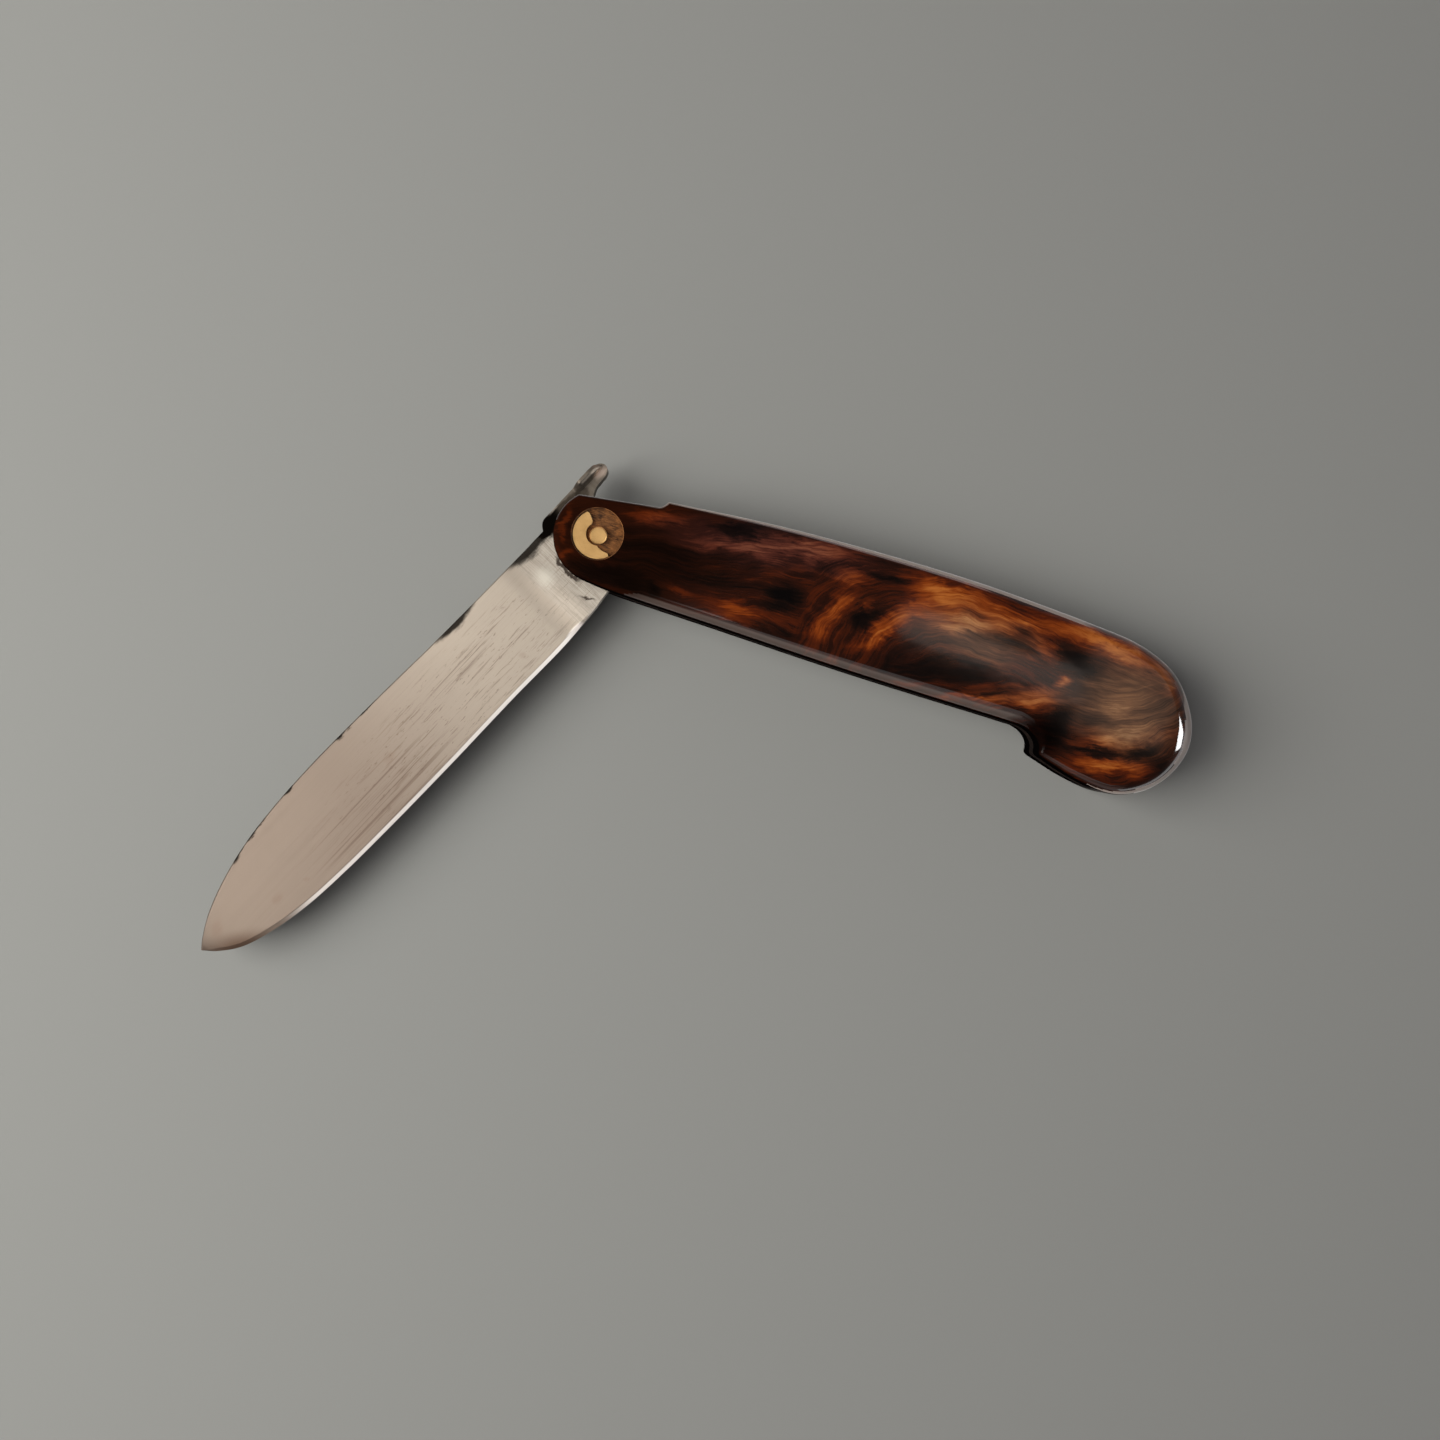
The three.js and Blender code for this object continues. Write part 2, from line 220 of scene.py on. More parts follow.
def skin(name, rings, material):
    """A closed body through rings that all have the same number of points."""
    count = len(rings[0])
    faces = [
        (r * count + i, r * count + j, (r + 1) * count + j, (r + 1) * count + i)
        for r in range(len(rings) - 1)
        for i, j in ((i, (i + 1) % count) for i in range(count))
    ]
    faces.append(tuple(reversed(range(count))))
    faces.append(tuple(range((len(rings) - 1) * count, len(rings) * count)))
    made = mesh_object(name, [p for ring in rings for p in ring], faces, material)
    face_outwards(made)
    return made


def face_outwards(made):
    shape = bmesh.new()
    shape.from_mesh(made.data)
    bmesh.ops.recalc_face_normals(shape, faces=shape.faces)
    shape.to_mesh(made.data)
    shape.free()


def plate(name, outline, low, high, material):
    """A flat body between two heights."""
    rings = [[(p[0], p[1], z) for p in outline] for z in (low, high)]
    return skin(name, rings, material)


def turned(name, profile, steps, material, centre=(0, 0)):
    """A body of revolution about a vertical axis, from [radius, height] pairs."""
    rings = [
        [
            (centre[0] + radius * math.cos(angle), centre[1] + radius * math.sin(angle), z)
            for angle in (2 * math.pi * i / steps for i in range(steps))
        ]
        for radius, z in profile
    ]
    return skin(name, rings, material)


def combine(made, other, operation):
    """Joins another body to this one, or cuts it away, and removes the other."""
    change = made.modifiers.new(operation, "BOOLEAN")
    change.operation = operation
    change.object = other
    change.solver = "EXACT"
    change.material_mode = "TRANSFER"
    freeze(made)
    bpy.data.objects.remove(other)


def freeze(made):
    """Applies an object's modifiers."""
    graph = bpy.context.evaluated_depsgraph_get()
    result = bpy.data.meshes.new_from_object(made.evaluated_get(graph))
    old = made.data
    made.modifiers.clear()
    made.data = result
    bpy.data.meshes.remove(old)
    result.name = made.name


def mark_creases(made, angle, beyond=-math.inf):
    """Smooths the faces, but for creases at more than the angle between two, past an x."""
    shape = bmesh.new()
    shape.from_mesh(made.data)
    for face in shape.faces:
        face.smooth = True
    for edge in shape.edges:
        past = min(end.co.x for end in edge.verts) > beyond * MM
        if past and edge.is_manifold and edge.calc_face_angle() > angle:
            edge.smooth = False
    shape.to_mesh(made.data)
    shape.free()


def weigh_normals(made):
    """Keeps flat faces flat beside rounded ones."""
    weighted = made.modifiers.new("weighted", "WEIGHTED_NORMAL")
    weighted.keep_sharp = True
    freeze(made)


# Shader networks
class Shader:
    """A material's network, with short calls for the nodes that it is made of."""

    def __init__(self, name, **surface):
        self.material = bpy.data.materials.new(name)
        self.material.use_nodes = True
        self.tree = self.material.node_tree
        self.surface = self.tree.nodes["Principled BSDF"]
        self.set(self.surface, surface)

    def set(self, node, inputs):
        for key, value in inputs.items():
            socket = node.inputs[key]
            if isinstance(value, bpy.types.NodeSocket):
                self.tree.links.new(value, socket)
            else:
                socket.default_value = value

    def add(self, kind, inputs=None, **settings):
        node = self.tree.nodes.new("ShaderNode" + kind)
        for key, value in settings.items():
            setattr(node, key, value)
        self.set(node, inputs or {})
        return node

    def place(self, turn=0):
        """The point in millimetres, turned about Z."""
        point = self.add("TexCoord").outputs["Object"]
        rotated = self.add("Mapping", {"Vector": point, "Rotation": (0, 0, turn)})
        return self.vector("SCALE", rotated.outputs[0], scale=1 / MM)

    def vector(self, operation, a, b=None, scale=None):
        node = self.add("VectorMath", operation=operation)
        self.set(node, {0: a})
        if b is not None:
            self.set(node, {1: b})
        if scale is not None:
            self.set(node, {"Scale": scale})
        return node.outputs["Value" if operation == "LENGTH" else "Vector"]

    def math(self, operation, *values, clamp=False):
        node = self.add("Math", operation=operation, use_clamp=clamp)
        self.set(node, dict(enumerate(values)))
        return node.outputs[0]

    def fold(self, operation, values):
        result, *others = values
        for value in others:
            result = self.math(operation, result, value)
        return result

    def product(self, *values):
        return self.fold("MULTIPLY", values)

    def total(self, *values):
        return self.fold("ADD", values)

    def most(self, *values):
        return self.fold("MAXIMUM", values)

    def inverse(self, share):
        return self.math("SUBTRACT", 1.0, share)

    def noise(self, point, stretch=(1, 1, 1), detail=4, roughness=0.55, distortion=0.0, output=0):
        """Noise whose features are about as long as the stretch, each way."""
        inputs = {
            "Vector": self.vector("DIVIDE", point, stretch),
            "Scale": 1.0,
            "Detail": detail,
            "Roughness": roughness,
            "Distortion": distortion,
        }
        return self.add("TexNoise", inputs).outputs[output]

    def scatter(self, colour, reach):
        """A colour of noise as a step of up to half the reach, each way."""
        return self.vector("SCALE", self.vector("SUBTRACT", colour, (0.5, 0.5, 0.5)), scale=reach)

    def blend(self, share, a, b):
        node = self.add("Mix", data_type="FLOAT")
        self.set(node, {0: share, 2: a, 3: b})
        return node.outputs[0]

    def between(self, value, low, high, to_low=0.0, to_high=1.0, smoothly=True):
        node = self.add(
            "MapRange",
            {"Value": value, "From Min": low, "From Max": high, "To Min": to_low, "To Max": to_high},
            interpolation_type="SMOOTHSTEP" if smoothly else "LINEAR",
        )
        return node.outputs[0]

    def spot(self, point, x, y, long, wide, turn=0, soft=0.8):
        """1 at a place in the plane, falling to 0 at the rim of an ellipse about it."""
        inside = self.add(
            "Mapping",
            {
                "Vector": point,
                "Location": (x, y, 0),
                "Rotation": (0, 0, math.radians(turn)),
                "Scale": (long, wide, 1e6),
            },
            vector_type="TEXTURE",
        )
        away = self.vector("LENGTH", inside.outputs[0])
        return self.between(away, 1, 1 - soft)

    def ramp(self, value, positions, colours):
        node = self.add("ValToRGB", {"Fac": value})
        marks = node.color_ramp.elements
        while len(marks) < len(positions):
            marks.new(0.5)
        for mark, position, colour in zip(marks, positions, colours):
            mark.position = position
            mark.color = (*rgb(*colour), 1)
        return node.outputs[0]

    def mix(self, share, a, b):
        node = self.add("Mix", data_type="RGBA")
        for socket, value in zip((node.inputs[0], node.inputs[6], node.inputs[7]), (share, a, b)):
            if isinstance(value, bpy.types.NodeSocket):
                self.tree.links.new(value, socket)
            else:
                socket.default_value = (*rgb(*value), 1)
        return node.outputs[2]

    def paint(self, colour, layers):
        """A colour under layers, each with its mask, its share of cover and its colour."""
        for mask, cover, over in layers:
            colour = self.mix(self.product(mask, cover), colour, over)
        return colour

    def bump(self, height, distance, under=None):
        inputs = {"Height": height, "Distance": distance * MM}
        if under:
            inputs["Normal"] = under
        return self.add("Bump", inputs).outputs[0]

    def finish(self, **surface):
        self.set(self.surface, surface)
        return self.material


def rgb(*levels):
    """A linear colour, from levels of 0 to 255 on a screen."""
    shares = [level / 255 for level in levels]
    return tuple(s / 12.92 if s <= 0.04045 else ((s + 0.055) / 1.055) ** 2.4 for s in shares)


# Wood of the handle
# Where it is darker or lighter: [x, y, length, width, turn, amount]
PATCHES = [
    (8, -0.5, 26, 8, 0, -0.17),
    (5, -5.8, 12, 3, 0, -0.22),
    (11.6, -5.5, 2.4, 1.8, 0, -0.2),
    (22, 7.1, 8, 1.6, 5, -0.3),
    (31, -0.8, 4.2, 3.8, 0, -0.36),
    (34, 4.7, 8, 1.3, 6, -0.14),
    (47, 6.7, 6.5, 1.5, 3, -0.34),
    (44.6, -1.2, 2.6, 4, 15, -0.3),
    (59, -4.5, 15, 2.6, 10, -0.24),
    (54, -7.4, 11, 1.8, 5, -0.14),
    (66, -6.6, 7, 0.9, 15, -0.2),
    (70, 4, 4.6, 1.6, -15, -0.2),
    (79.5, 2, 5.6, 3, -15, -0.42),
    (78.4, -8, 3, 5, 0, -0.3),
    (84.5, -10.6, 9, 1, 5, -0.24),
    (92.6, -8.7, 3.4, 1.4, 35, -0.26),
    (96.5, -10, 3.4, 4, 50, -0.2),
    (24.5, -5.3, 10, 2.8, 0, 0.32),
    (26, -5.6, 4.5, 1.6, 0, 0.04),
    (14.5, -4.7, 5.5, 1.2, 2, 0.24),
    (38.4, -3, 7, 3.6, 65, 0.35),
    (40.5, 1.8, 5, 2.8, 60, 0.24),
    (46.8, -2.4, 8.5, 2.4, 50, 0.42),
    (50, 2.5, 6.4, 2.6, 40, 0.22),
    (44.6, 1.3, 1.5, 1.7, 0, 0.3),
    (54, 7, 10, 2.6, 0, 0.4),
    (57, 4, 11, 3.8, 12, 0.4),
    (61, 2.8, 8, 2, 12, 0.42),
    (67.5, 5, 8, 2.4, -5, 0.36),
    (72.5, 3, 5, 1.7, -12, 0.36),
    (70, 6.8, 24, 3.4, -4, 0.26),
    (69, -6.3, 11, 2.8, 18, 0.3),
    (75, -4.9, 6, 3, 14, 0.36),
    (77, -1.6, 1.8, 1.7, 0, 0.5),
    (62, -8.2, 8, 1.3, 16, 0.34),
    (88, -1, 13, 9, -10, 0.24),
    (86, -3, 4.6, 1.8, 12, 0.2),
    (89, -6.6, 11, 3, 18, 0.4),
    (87, -8.6, 6, 1.5, 8, 0.2),
    (88, -12.2, 10, 2.2, 10, 0.44),
    (84, 6.6, 12, 2.4, -10, 0.3),
    (93, 4, 6, 2.4, -42, 0.3),
    (8, 5.6, 8, 1.7, 10, 0.26),
    (22, 4.6, 15, 2, 9, 0.27),
    (31, 7.4, 16, 2.2, 7, 0.35),
    (40, 5, 8, 1.6, 7, 0.24),
    (64, -0.6, 16, 3.6, -3, 0.2),
    (80, 6.6, 13, 2.8, -8, 0.2),
    (-5.6, 0.4, 1.1, 4.6, 0, 0.24),
    (-4.4, -4.4, 2, 1.2, 40, 0.18),
]
# Its colours at each tone, from the darkest to the palest
TONES = (0, 0.2, 0.4, 0.58, 0.76, 1)
RED_WOOD = [(7, 4, 3), (20, 10, 6), (46, 19, 9), (88, 34, 11), (142, 64, 19), (196, 114, 48)]
BROWN_WOOD = [(12, 10, 8), (30, 21, 15), (60, 40, 26), (94, 64, 44), (134, 94, 64), (184, 140, 98)]
ROSY_WOOD = [(10, 6, 6), (25, 14, 12), (52, 26, 21), (92, 47, 36), (136, 80, 58), (186, 126, 92)]
# Where it is smoky: [x, y, length, width, turn, amount]
SMOKE = [(88, -2, 17, 12, -10, 1), (62, 1, 18, 7, 4, 0.65), (70, -6, 13, 4, 18, 0.3)]
# The inside corner of the notch
NOTCH = (76, -10.8)


def grain_families(shade, x, y):
    """Pairs of [share, height], where each height stays the same along a line of the grain."""
    def sloped(slope, height):
        return shade.math("ADD", shade.math("MULTIPLY_ADD", x, -slope, y), height)

    def ring(x_at, y_at, left, right):
        """The distance from a place, shortened to its left and to its right."""
        away = shade.math("SUBTRACT", x, x_at)
        shares = [
            shade.math("DIVIDE", shade.math(side, away, 0.0), by)
            for side, by in (("MINIMUM", left), ("MAXIMUM", right))
        ]
        up = shade.math("SUBTRACT", y, y_at)
        apart = shade.add("CombineXYZ", {0: shade.total(*shares), 1: up, 2: 0.0}).outputs[0]
        return shade.vector("LENGTH", apart)

    # Fanning out slowly towards the butt
    fan = shade.math("DIVIDE", shade.product(sloped(0, 9), 80.0), shade.total(x, 60.0))
    # Flames that rise steeply and bend over towards the butt
    flames = ring(62, -8, 1.5, 3.6)
    upper = shade.between(sloped(0.13, 0), 1.2, 3.2)
    in_flames = shade.most(
        shade.product(shade.between(x, 33, 36), shade.inverse(upper)), shade.between(x, 46, 54)
    )
    # Along the belly before the notch, and round the bottom of the bulb
    under = sloped(0.27, 0)
    in_under = shade.product(
        shade.inverse(shade.between(sloped(0.09, 10.0), -0.8, 0.8)), shade.between(x, 48, 52)
    )
    bulb = ring(82, 12, 1, 1)
    in_bulb = shade.product(shade.between(x, 77, 82), shade.between(y, 4, 0))
    rest = 1.0
    families = []
    for share, height in ((in_bulb, bulb), (in_under, under), (in_flames, flames), (1.0, fan)):
        families.append((shade.product(rest, share), height))
        rest = shade.product(rest, shade.inverse(share))
    return families


def figured_wood(shade, point):
    """The colour of the wood, and its fine streaks."""
    drift = shade.noise(point, (12, 9, 12), detail=3, roughness=0.5, output=1)
    bent = shade.vector("ADD", point, shade.scatter(drift, 5))
    along, across, depth = shade.add("SeparateXYZ", {0: bent}).outputs
    families = grain_families(shade, along, across)

    def figure(stretch, detail, roughness, distortion=0.0):
        """Noise drawn out along the grain."""
        parts = []
        for share, height in families:
            flow = shade.add("CombineXYZ", {0: along, 1: height, 2: depth}).outputs[0]
            drawn = shade.noise(flow, stretch, detail, roughness, distortion)
            parts.append(shade.product(share, drawn))
        return shade.total(*parts)

    ragged = shade.noise(bent, (5, 2, 3), detail=5, roughness=0.6, output=1)
    edge = shade.vector("ADD", point, shade.scatter(ragged, 4.5))

    def amounts(places):
        return [shade.product(shade.spot(edge, *place, soft=1), amount) for *place, amount in places]

    streaks = figure((15, 1.5, 3), 6, 0.62, 0.3)
    fine = figure((5, 0.28, 0.8), 4, 0.6)
    pores = figure((1.8, 0.11, 0.3), 2, 0.5)
    lively = shade.between(along, 8, 30, 0.4, 1)
    drawn = shade.total(
        shade.between(streaks, 0.28, 0.72, -0.19, 0.19, smoothly=False),
        shade.between(fine, 0.3, 0.7, -0.1, 0.1, smoothly=False),
    )
    tone = shade.total(shade.product(lively, drawn), *amounts(PATCHES))
    tone = shade.math("ADD", tone, 0.38, clamp=True)
    red, brown, rosy = (shade.ramp(tone, TONES, wood) for wood in (RED_WOOD, BROWN_WOOD, ROSY_WOOD))
    haze = shade.product(shade.noise(point, (9, 5, 6), detail=2), 0.35)
    smoky = shade.between(shade.total(*amounts(SMOKE), haze), 0.15, 1.0)
    layers = [
        (shade.spot(edge, 26, 6, 26, 5, 7), 1, rosy),
        (smoky, 1, brown),
        (shade.between(pores, 0.34, 0.24), 0.55, (16, 9, 6)),
    ]
    return shade.paint(red, layers), fine, along


def rim_dust_and_reflection(shade, point, along, sideways, slope):
    """Pale dust on the rim, painted pale as its reflection too, but for the front, the belly, the notch
    and the bulb's back.
    """
    x, y, _ = shade.add("SeparateXYZ", {0: point}).outputs
    clean = shade.most(
        shade.product(shade.between(sideways, 0.1, -0.1), shade.between(along, 88, 80), 0.8),
        shade.spot(point, 85.5, 8, 9, 5, -20, soft=0.4),
        shade.spot(point, *NOTCH, 11, 6, 0, soft=0.6),
    )
    narrow = shade.product(shade.between(y, -1, 5), shade.between(x, 77, 83))
    limit = shade.blend(narrow, 0.92, 0.4)
    return shade.product(
        shade.between(slope, limit, shade.math("SUBTRACT", limit, 0.12)),
        shade.between(slope, 0.02, 0.3, 0.08, 1),
        shade.between(along, 4, 14),
        shade.inverse(clean),
    )


def handle_wood(name, dust_and_reflection, **lacquer):
    shade = Shader(name, **{"Roughness": 0.42, "Specular IOR Level": 0.0}, **lacquer)
    point = shade.place()
    colour, fine, along = figured_wood(shade, point)
    facing = shade.add("SeparateXYZ", {0: shade.add("NewGeometry").outputs["Normal"]}).outputs
    sideways = facing[1]
    slope = shade.math("ABSOLUTE", facing[2])
    # The notch and the belly's wall as far as the bulb are bare, and painted black as shade
    belly = shade.product(shade.between(sideways, 0.5, 0.1), shade.between(along, 93, 86))
    notch = shade.spot(point, *NOTCH, 5.4, 4.4, -20, soft=0.7)
    painted_shade = shade.most(
        shade.product(shade.between(slope, 0.34, 0.16), belly), shade.product(notch, 0.85)
    )
    bare = shade.most(shade.product(shade.between(slope, 0.85, 0.4), belly), notch)
    left = shade.product(shade.between(along, 8, 30), shade.inverse(bare))
    # Painted shade: black on the belly's wall and in the notch
    layers = [(painted_shade, 1, (5, 4, 4))]
    if dust_and_reflection:
        # Pale dust on the rubbed rim, which also paints the rim's reflection
        layers.append((rim_dust_and_reflection(shade, point, along, sideways, slope), dust_and_reflection, (196, 181, 170)))
    colour = shade.paint(colour, layers)
    ripple = shade.bump(shade.noise(point, (7, 5, 6), detail=2, roughness=0.4), 0.012)
    grit = shade.bump(fine, 0.004, under=ripple)
    return shade.finish(
        **{"Base Color": colour, "Normal": grit, "Coat Weight": left, "Coat Normal": ripple}
    )


def raw_wood(name, deepest, palest):
    """Bare, fibrous wood."""
    shade = Shader(name, Roughness=0.8)
    point = shade.place()
    fibres = shade.noise(point, (0.9, 0.16, 0.4), detail=5, roughness=0.65, distortion=0.6)
    blotches = shade.noise(point, (1.6, 1.1, 1.2), detail=3)
    tone = shade.total(shade.product(fibres, 0.7), shade.product(blotches, 0.5))
    colour = shade.mix(shade.between(tone, 0.38, 0.86), deepest, palest)
    normal = shade.bump(fibres, 0.12)
    return shade.finish(**{"Base Color": colour, "Normal": normal, "Specular IOR Level": 0.2})


# Steel of the blade
# Where it is darker, with painted shade at the lever's base, and where it is faintly stained: [x, y,
# length, width, turn]
DARK_MARKS = [
    (8.5, -8, 6.6, 2.3, -3),
    (26, -8.6, 5.6, 1.9, 0),
    (46, -9.2, 2.6, 0.75, 0),
    (51.4, -9.4, 3.6, 0.8, 0),
    (64.5, -9.5, 1.9, 0.75, 0),
    (73, -8.95, 3.8, 0.75, 6),
    (77.8, -8.1, 2.2, 0.7, 16),
    (4, -7.9, 3, 2.2, 0),
    # Painted shade at the lever's base
    (-3.4, -7.4, 1.6, 1.2, 0),
    (0, -8, 5, 1, 0),
]
STAINS = [
    (22.5, 3.5, 0.9, 0.8, 0),
    (49.4, -0.8, 1.7, 1.1, 0),
    (73.2, 2.8, 0.8, 0.5, 0),
    (78.6, 1.6, 1.5, 0.9, 0),
    (89, -2.1, 2.2, 1.3, 30),
]


def blade_steel():
    shade = Shader("blade_steel", Metallic=1.0)
    point = shade.place(-REST_ANGLE)
    x, _, z = shade.add("SeparateXYZ", {0: point}).outputs
    scratches = shade.noise(point, (22, 0.09, 5), detail=5, roughness=0.7)
    streaks = shade.noise(point, (6, 0.3, 5), detail=4, roughness=0.6)
    pits = shade.noise(point, (1.3, 0.26, 5), detail=3, roughness=0.6)
    cloud = shade.noise(point, (16, 7, 5), detail=3)
    crossing = shade.noise(point, (0.12, 5, 5), detail=4, roughness=0.7)
    long_lines = shade.noise(point, (60, 0.5, 5), detail=2, roughness=0.6)
    torn = shade.noise(point, (2.4, 0.9, 2), detail=4, roughness=0.6, output=1)
    ragged = shade.vector("ADD", point, shade.scatter(torn, 1.6))
    heel = shade.between(x, 13.2, 12)
    marked = shade.spot(point, 34, 1, 42, 9, 0, soft=0.5)
    lined = shade.product(shade.between(streaks, 0.56, 0.66), marked)
    pitted = shade.product(shade.between(pits, 0.62, 0.7), marked)
    # Long scratches in two groups
    groups = shade.total(
        shade.spot(point, 56, 2.6, 19, 5.4, -3, soft=0.5),
        shade.spot(point, 32, -2.8, 9, 2, -3, soft=0.6),
    )
    scored = shade.product(shade.between(long_lines, 0.5, 0.62), groups)
    # The ground faces start with a flare, which is painted in shade
    flare = shade.product(shade.between(x, 8, 10), shade.between(x, 16.5, 14))
    # Darker in an arc just beyond the handle's front, round the tang
    away = shade.vector("LENGTH", shade.vector("MULTIPLY", ragged, (1, 1, 0)))
    dark_arc = shade.product(
        shade.between(away, 7.2, 7.4),
        shade.between(away, 8.2, 7.9),
        shade.spot(point, 7.4, -0.6, 3, 3.4, 0, soft=0.4),
    )
    marks = shade.most(dark_arc, shade.spot(ragged, 8.4, 5, 2, 0.34, -58))
    # Dark marks, with painted shade at the lever's base
    darkened = shade.total(*(shade.spot(ragged, *place, soft=0.45) for place in DARK_MARKS))
    stains = shade.total(*(shade.spot(ragged, *place) for place in STAINS))
    # The edge's bevel is freshly ground, and painted pale as its highlight
    height = shade.math("ABSOLUTE", shade.math("SUBTRACT", z, MID_HEIGHT))
    ground = shade.product(shade.between(height, 0.26, 0.21), shade.between(x, 82, 73))
    nick = shade.spot(point, 14, 7.2, 2.6, 0.9, 3, soft=0.5)
    layers = [
        # Painted shade, darker towards the point
        (shade.between(x, 15, 60), 1, (127, 115, 104)),
        (heel, 1, (184, 177, 165)),
        (shade.between(scratches, 0.58, 0.72), 0.3, (120, 100, 86)),
        (lined, 0.5, (106, 90, 78)),
        (pitted, 0.55, (98, 82, 70)),
        (scored, 0.6, (100, 84, 73)),
        (shade.product(shade.between(crossing, 0.45, 0.65), heel), 0.6, (122, 112, 100)),
        # A painted highlight on the ricasso
        (shade.spot(point, 10.6, -2.4, 2.4, 3, 0, soft=1), 0.7, (226, 224, 212)),
        # Painted shade on the flare
        (flare, 0.5, (136, 128, 117)),
        # Brown shading towards the point, on the edge's side
        (shade.spot(point, 88.6, 2.7, 9, 3.4, -36, soft=0.9), 0.85, (82, 64, 52)),
        (marks, 0.9, (44, 31, 24)),
        (darkened, 0.92, (24, 20, 16)),
        (stains, 0.14, (104, 70, 48)),
        # Painted highlight on the freshly ground bevel and the nick
        (shade.most(ground, nick), 1, (238, 233, 226)),
        # The lever is browner and duller than the blade, with a painted highlight near its tip
        (shade.between(x, 2.5, 0.5), 0.85, (88, 80, 70)),
        (shade.spot(ragged, -7.8, -7.4, 1.8, 1.2, 0), 0.7, (190, 172, 158)),
    ]
    colour = shade.paint(shade.mix(cloud, (170, 160, 147), (184, 174, 159)), layers)
    rough = shade.total(
        shade.between(scratches, 0.3, 0.7, 0.36, 0.5, smoothly=False),
        shade.product(darkened, 0.35),
        shade.product(cloud, 0.06),
    )
    normal = shade.bump(scratches, 0.012)
    normal = shade.bump(streaks, 0.01, under=normal)
    normal = shade.bump(crossing, 0.006, under=normal)
    return shade.finish(**{"Base Color": colour, "Roughness": rough, "Normal": normal})


def brass():
    shade = Shader("brass", Metallic=1.0)
    point = shade.place()
    cloud = shade.noise(point, (1.8, 1.4, 1.5), detail=3)
    brushed = shade.noise(point, (0.8, 0.05, 0.8), detail=3)
    specks = shade.noise(point, (0.16, 0.12, 0.16), detail=2)
    colour = shade.mix(cloud, (180, 142, 89), (208, 170, 114))
    colour = shade.mix(shade.between(specks, 0.62, 0.72, 0, 0.35), colour, (124, 87, 48))
    rough = shade.between(cloud, 0.3, 0.7, 0.34, 0.46)
    normal = shade.bump(brushed, 0.004)
    return shade.finish(**{"Base Color": colour, "Roughness": rough, "Normal": normal})


# Handle
def spaced(points):
    """As many points along the same line, at even distances."""
    lengths = [0]
    for a, b in zip(points, points[1:]):
        lengths.append(lengths[-1] + (b.xy - a.xy).length)
    result = []
    last = 0
    for i in range(len(points) - 1):
        at = i / (len(points) - 1) * lengths[-1]
        while lengths[last + 1] < at:
            last += 1
        share = (at - lengths[last]) / (lengths[last + 1] - lengths[last])
        result.append(points[last].lerp(points[last + 1], share))
    return [*result, points[-1]]


def even_out(values):
    """Takes the unevenness out of a list, and keeps its ends."""
    for _ in range(SMOOTHING_PASSES):
        threes = zip(values, values[1:], values[2:])
        values = [values[0], *((a + 2 * b + c) / 4 for a, b, c in threes), values[-1]]
    return values


